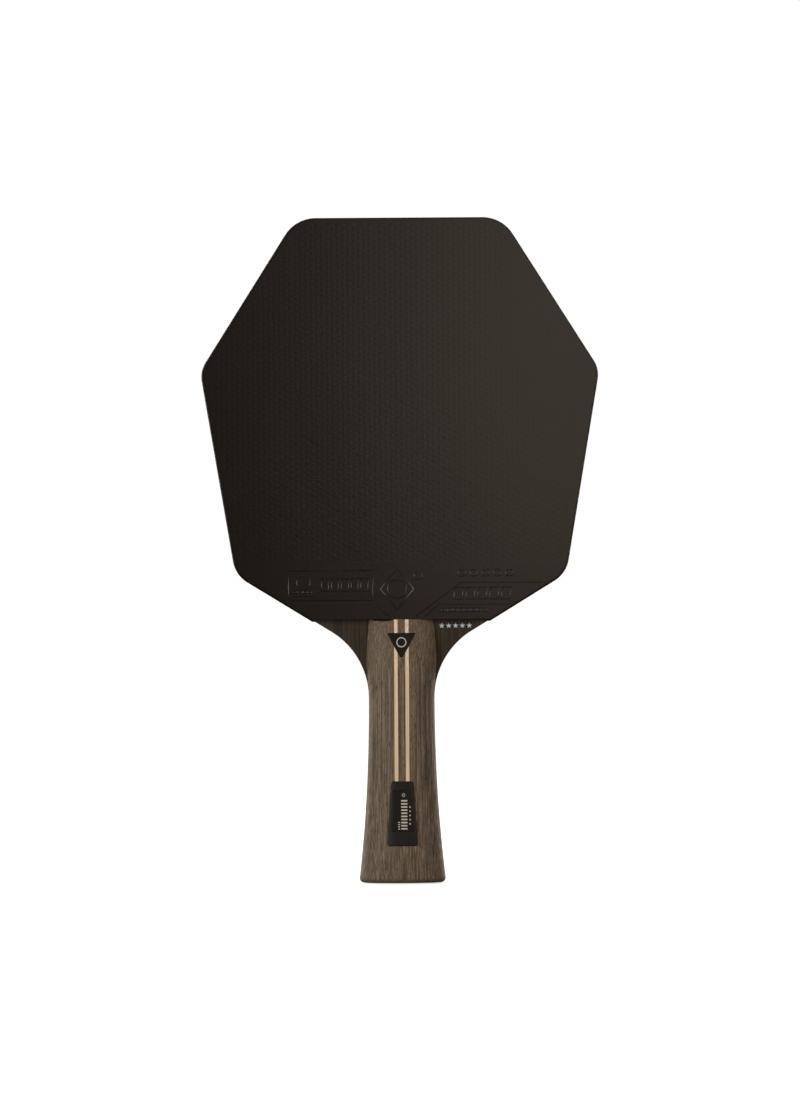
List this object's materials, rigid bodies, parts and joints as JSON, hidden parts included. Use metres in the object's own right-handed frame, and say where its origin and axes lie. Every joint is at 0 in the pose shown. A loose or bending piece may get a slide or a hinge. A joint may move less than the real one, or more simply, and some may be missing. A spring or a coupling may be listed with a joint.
{
  "type": "table tennis paddle",
  "caption": "Table tennis paddle with a hexagonal laminated blade, a smooth rubber on each face and a flared wooden handle with inlaid strips.",
  "frame": {"origin": "centre of the butt's flat end face", "axes": "+Z from the butt along the handle to the tip of the head, -Y is the front face with the black rubber and the badge, X is the width"},
  "size_m": [0.1534, 0.0248, 0.257],
  "materials": {
    "core_wood": "pale light wood, edge grain sanded smooth",
    "inner_ply_wood": "pale wood, edge grain sanded smooth",
    "carbon_weave": "woven carbon sheet in resin, seen only at its edges",
    "blade_veneer": "dark engineered veneer, fine straight grain, satin lacquer",
    "scale_veneer": "dark grey-brown engineered wood, fine straight grain, satin",
    "inlay_wood": "pale wood strip, satin",
    "black_rubber": "smooth satin topsheet, pimples on its inner side",
    "red_rubber": "smooth satin topsheet, pimples on its inner side",
    "black_sponge": "matte cellular sponge",
    "tape": "matte adhesive tape",
    "badge_surround": "moulded, satin",
    "badge_panel": "printed panel with plain light marks",
    "emblem": "black plate with a thin light ring"
  },
  "bodies": {
    "root": {"blade_core": "core_wood", "front_inner_ply": "inner_ply_wood", "front_carbon_ply": "carbon_weave", "front_outer_veneer": "blade_veneer", "back_inner_ply": "inner_ply_wood", "back_carbon_ply": "carbon_weave", "back_outer_veneer": "blade_veneer", "front_sponge": "black_sponge", "front_topsheet": "black_rubber", "back_sponge": "black_sponge", "back_topsheet": "red_rubber", "edge_tape": "tape", "front_left_strip": "scale_veneer", "front_centre_strip": "scale_veneer", "front_right_strip": "scale_veneer", "front_butt_block": "scale_veneer", "front_left_inlay": "inlay_wood", "front_right_inlay": "inlay_wood", "back_left_strip": "scale_veneer", "back_centre_strip": "scale_veneer", "back_right_strip": "scale_veneer", "back_butt_block": "scale_veneer", "back_left_inlay": "inlay_wood", "back_right_inlay": "inlay_wood", "badge_frame": "badge_surround", "badge_plate": "badge_panel", "emblem_plate": "emblem"}
  },
  "joints": []
}
